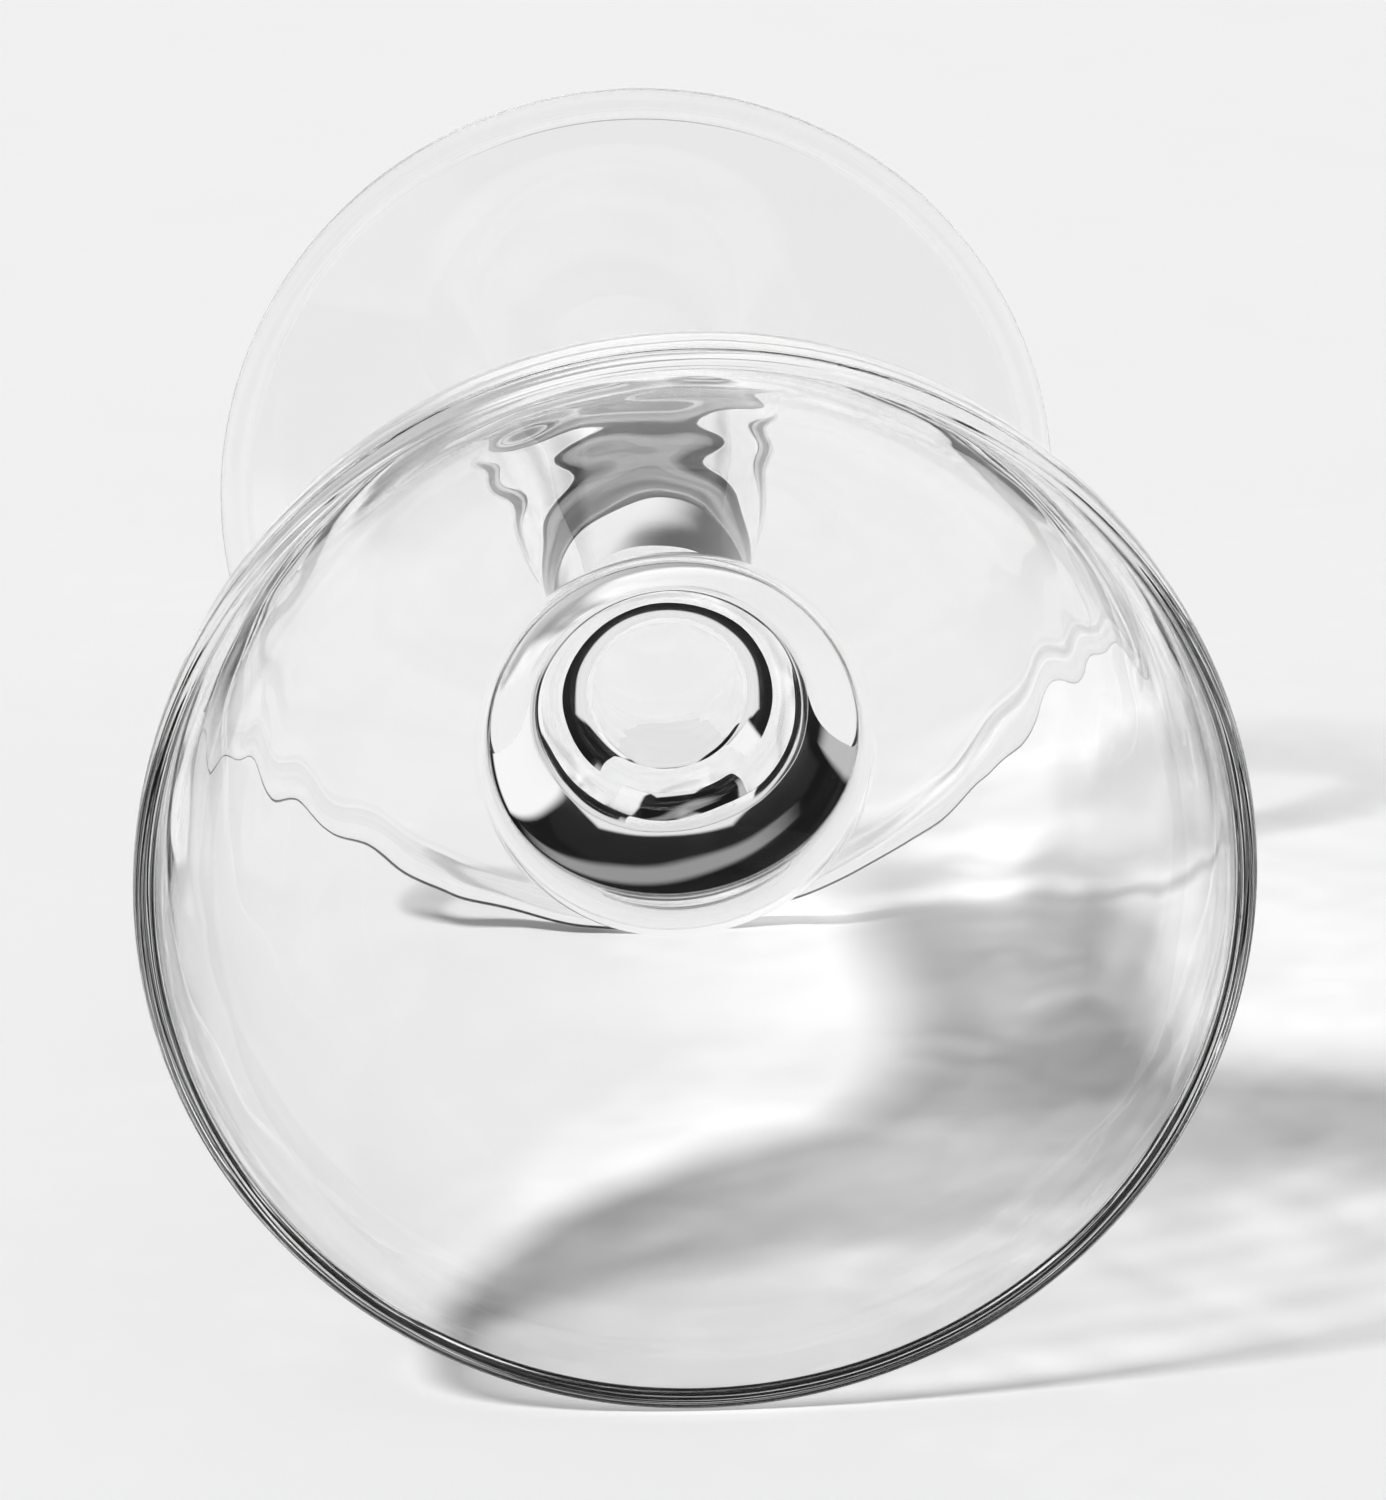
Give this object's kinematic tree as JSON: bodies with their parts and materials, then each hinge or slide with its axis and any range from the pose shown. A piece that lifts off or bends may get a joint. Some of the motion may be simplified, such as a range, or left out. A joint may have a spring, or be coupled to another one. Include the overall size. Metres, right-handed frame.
{
  "type": "liqueur glass",
  "caption": "Small clear liqueur glass: rounded open bowl on a flared stem and a flat round foot, for serving a measure of liqueur.",
  "frame": {"origin": "centre of the flat ring that the foot stands on", "axes": "+Z along the axis of the glass, from the foot up to the lip; the glass is round, so X and Y are any two directions across it"},
  "size_m": [0.065, 0.065, 0.085],
  "materials": {
    "bowl_glass": "clear, fire polished",
    "stem_glass": "clear, fire polished",
    "foot_glass": "clear, fire polished, worn at the standing ring"
  },
  "bodies": {
    "root": {"bowl": "bowl_glass", "stem": "stem_glass", "foot": "foot_glass"}
  },
  "joints": []
}
